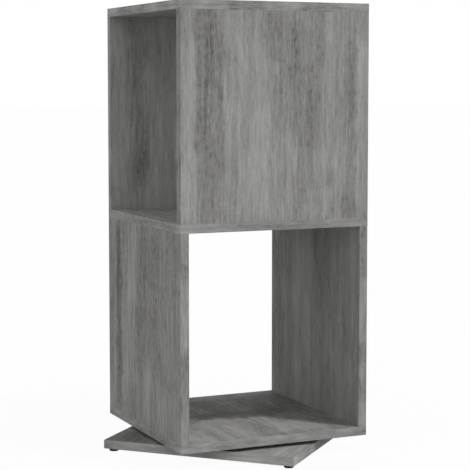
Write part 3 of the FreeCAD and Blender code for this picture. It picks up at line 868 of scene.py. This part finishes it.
def beech():
    material, tree, shader = plain_material("beech_dowel", Roughness=0.6)
    place = object_place(tree)
    grain = noise(tree, place, (1400.0, 1400.0, 60.0), 3.0, 0.6)
    colour = blend_colours(tree, remap(tree, grain, 0.3, 0.7), *BEECH_BROWNS)
    flecks = remap(tree, noise(tree, place, (2400.0, 2400.0, 420.0), 1.0), 0.62, 0.70)
    flecks = calculate(tree, "MULTIPLY", flecks, FLECK_SHARE)
    colour = blend_colours(tree, flecks, colour, FLECK_BROWN)
    connect(tree, shader, Base_Color=colour, Normal=bump(tree, grain, 0.3, 0.00008))
    return material


def make_dowel_tree(wood):
    inputs = [(label, "NodeSocketFloat", size) for label, size in DOWEL_SIZES.items()]
    tree, given, result = group_with("dowel_tree", "GeometryNodeTree", inputs + FOUR_CORNER_INPUTS,
                                     GEOMETRY_OUT)
    radius, length, chamfer = (given[label] for label in DOWEL_SIZES)
    slim = calculate(tree, "SUBTRACT", radius, chamfer)
    high = calculate(tree, "SUBTRACT", length, chamfer)
    corners = [(0.0, length), (slim, length), (radius, high), (radius, chamfer), (slim, 0.0),
               (0.0, 0.0)]
    dowel = lathe(tree, corners, DOWEL_SIDES, FLUTES, FLUTE_DEPTH)
    finish_tree(tree, on_four_corners(tree, dowel, given), wood, result)
    return tree


dowel_tree = make_dowel_tree(beech())
for node, (spread_x, spread_y, height) in DOWEL_SETS.items():
    values = {"Spread X": spread_x, "Spread Y": spread_y, "Height": height}
    dowels = grow(f"fluted_{node}", dowel_tree, values)
    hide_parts(node)
    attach(dowels, "cabinet")

# %% [markdown]
# ## Rings and ball cage
# The rings are turned aluminium, so their faces carry very fine circles round the axis. Noise fed
# only with the distance from the axis is the same all the way round, which gives just that. The
# cage is natural nylon: milky, a little translucent, with the cloudy flow of a moulded part.

# %% Ring and cage materials
ALUMINIUM_GREYS = ((0.56, 0.57, 0.58, 1.0), (0.72, 0.72, 0.73, 1.0))
NYLON_WHITES = ((0.70, 0.68, 0.62, 1.0), (0.82, 0.80, 0.75, 1.0))


def turned_aluminium():
    material, tree, shader = plain_material("turned_aluminium", Metallic=1.0)
    place = object_place(tree)
    radius = length_of(tree, combine(tree, "MULTIPLY", place, (1.0, 1.0, 0.0)))
    height = parts_of(tree, place)["Z"]
    marks = noise(tree, vector_of(tree, radius, 0.0, height), (5200.0, 1.0, 5200.0), 3.0, 0.7)
    stains = noise(tree, place, (90.0, 90.0, 90.0), 3.0)
    colour = blend_colours(tree, stains, *ALUMINIUM_GREYS)
    connect(tree, shader, Base_Color=colour, Roughness=remap(tree, marks, 0.3, 0.7, 0.30, 0.46),
            Normal=bump(tree, marks, 0.3, 0.00004))
    return material


def nylon():
    material, tree, shader = plain_material("cage_nylon", Roughness=0.45, Subsurface_Weight=0.2,
                                            Subsurface_Scale=0.001)
    flow = noise(tree, object_place(tree), (160.0, 160.0, 420.0), 3.0)
    colour = blend_colours(tree, flow, *NYLON_WHITES)
    connect(tree, shader, Base_Color=colour, Normal=bump(tree, flow, 0.2, 0.00006))
    return material


aluminium = turned_aluminium()
for node in ("turntable_outer_ring", "turntable_inner_ring"):
    dress(node, aluminium)
dress("ball_cage", nylon())
print("metal and nylon finished")

# %% [markdown]
# ## Floor
# The photograph is a studio picture on pure white, but a shadow still has to tie the feet to the
# floor. So the camera sees a floor that mostly glows white and is a matt surface for the rest,
# while the light that bounces off it comes from the matt surface alone. Its underside is clear, so
# that the feet and the base can be looked at from below.

# %% Floor
FLOOR_REACH, FLOOR_DROP = 40.0, 0.0005
FLOOR_GREY = (0.62, 0.62, 0.62, 1.0)
FLOOR_GLOW = 0.96


def rays_that_see(tree):
    """1 for rays from the camera, from a mirror or through glass, and 0 for rays that light."""
    path = add_node(tree, "ShaderNodeLightPath").outputs
    seen = calculate(tree, "MAXIMUM", path["Is Camera Ray"], path["Is Glossy Ray"])
    return calculate(tree, "MAXIMUM", seen, path["Is Transmission Ray"])


def make_floor():
    mesh = bpy.data.meshes.new("floor")
    square = ((-1, -1), (1, -1), (1, 1), (-1, 1))
    corners = [(x * FLOOR_REACH, y * FLOOR_REACH, 0) for x, y in square]
    mesh.from_pydata(corners, [], [(0, 1, 2, 3)])
    floor = bpy.data.objects.new("floor", mesh)
    bpy.context.scene.collection.objects.link(floor)
    floor.location.z = -FLOOR_DROP
    material = bpy.data.materials.new("white_floor")
    material.use_nodes = True
    tree = material.node_tree
    tree.nodes.clear()
    matt = add_node(tree, "ShaderNodeBsdfDiffuse", {"Color": FLOOR_GREY}).outputs[0]
    sockets = {"Color": (1, 1, 1, 1), "Strength": 1.0}
    white = add_node(tree, "ShaderNodeEmission", sockets).outputs[0]
    share = calculate(tree, "MULTIPLY", rays_that_see(tree), FLOOR_GLOW)
    mixed = add_node(tree, "ShaderNodeMixShader", {0: share, 1: matt, 2: white}).outputs[0]
    clear = add_node(tree, "ShaderNodeBsdfTransparent").outputs[0]
    under = add_node(tree, "ShaderNodeNewGeometry").outputs["Backfacing"]
    seen = add_node(tree, "ShaderNodeMixShader", {0: under, 1: mixed, 2: clear}).outputs[0]
    add_node(tree, "ShaderNodeOutputMaterial", {"Surface": seen})
    mesh.materials.append(material)
    return floor


print("floor is", make_floor().dimensions.x, "m across")

# %% [markdown]
# ## Light
# The world is an even soft light, white where it is seen. One sun from above the right shoulder
# draws the shadow across the lower compartment's floor. Four very wide ones stand for a studio's
# big soft lamps. They overlap, so that the front ends up brightest, then the left, the right and
# last the back. Each lamp was rendered alone, the strengths were worked out from the pictures, and
# then some were adjusted.

# %% World and lamps
SKY_STRENGTH = 0.20
# Direction towards the lamp, strength, and how wide the lamp looks in degrees
LAMPS = {
    "key": ((0.39, -0.46, 1.0), 1.74, 6),
    "front": ((0.0, -1.0, 0.25), 1.41, 110),
    "left": ((-1.0, -0.1, 0.25), 1.42, 110),
    "right": ((1.0, -0.3, 0.25), 0.80, 110),
    "rear": ((0.2, 1.0, 0.25), 0.70, 110),
}


def make_world():
    world = bpy.data.worlds.new("studio")
    world.use_nodes = True
    tree = world.node_tree
    tree.nodes.clear()
    seen = rays_that_see(tree)
    strength = calculate(tree, "MULTIPLY_ADD", seen, 1.0 - SKY_STRENGTH, SKY_STRENGTH)
    sockets = {"Color": (1, 1, 1, 1), "Strength": strength}
    sky = add_node(tree, "ShaderNodeBackground", sockets).outputs[0]
    add_node(tree, "ShaderNodeOutputWorld", {"Surface": sky})
    bpy.context.scene.world = world


def make_lamp(name, towards, strength, width):
    sun = bpy.data.lights.new(name, "SUN")
    sun.energy = strength
    sun.angle = math.radians(width)
    lamp = bpy.data.objects.new(name, sun)
    lamp.rotation_euler = Vector(towards).to_track_quat("Z", "Y").to_euler()
    bpy.context.scene.collection.objects.link(lamp)


make_world()
for name, (towards, strength, width) in LAMPS.items():
    make_lamp(name, towards, strength, width)
print("lamps", list(LAMPS))

# %% [markdown]
# ## Camera
# The camera's place, turn and lens come from matching corners of the CAD model with the same
# corners in the photograph. A small shift keeps the cabinet in the frame while its uprights stay
# nearly parallel, as they do in the photograph.

# %% Camera
CAMERA_PLACE = Vector((-1.08362, -2.40627, 0.62770))
CAMERA_YAW, CAMERA_PITCH = -0.42385, 0.08079
LENS, SENSOR_WIDTH = 114.994, 36.0
SHIFT_Y = -0.06


def make_camera():
    data = bpy.data.cameras.new("camera")
    data.lens = LENS
    data.sensor_width = SENSOR_WIDTH
    data.shift_y = SHIFT_Y
    camera = bpy.data.objects.new("camera", data)
    camera.location = CAMERA_PLACE
    camera.rotation_euler = Euler((math.pi / 2 - CAMERA_PITCH, 0.0, CAMERA_YAW))
    bpy.context.scene.collection.objects.link(camera)
    bpy.context.scene.camera = camera
    return camera


print("camera at", tuple(make_camera().location))
bpy.context.scene.view_settings.view_transform = "Standard"
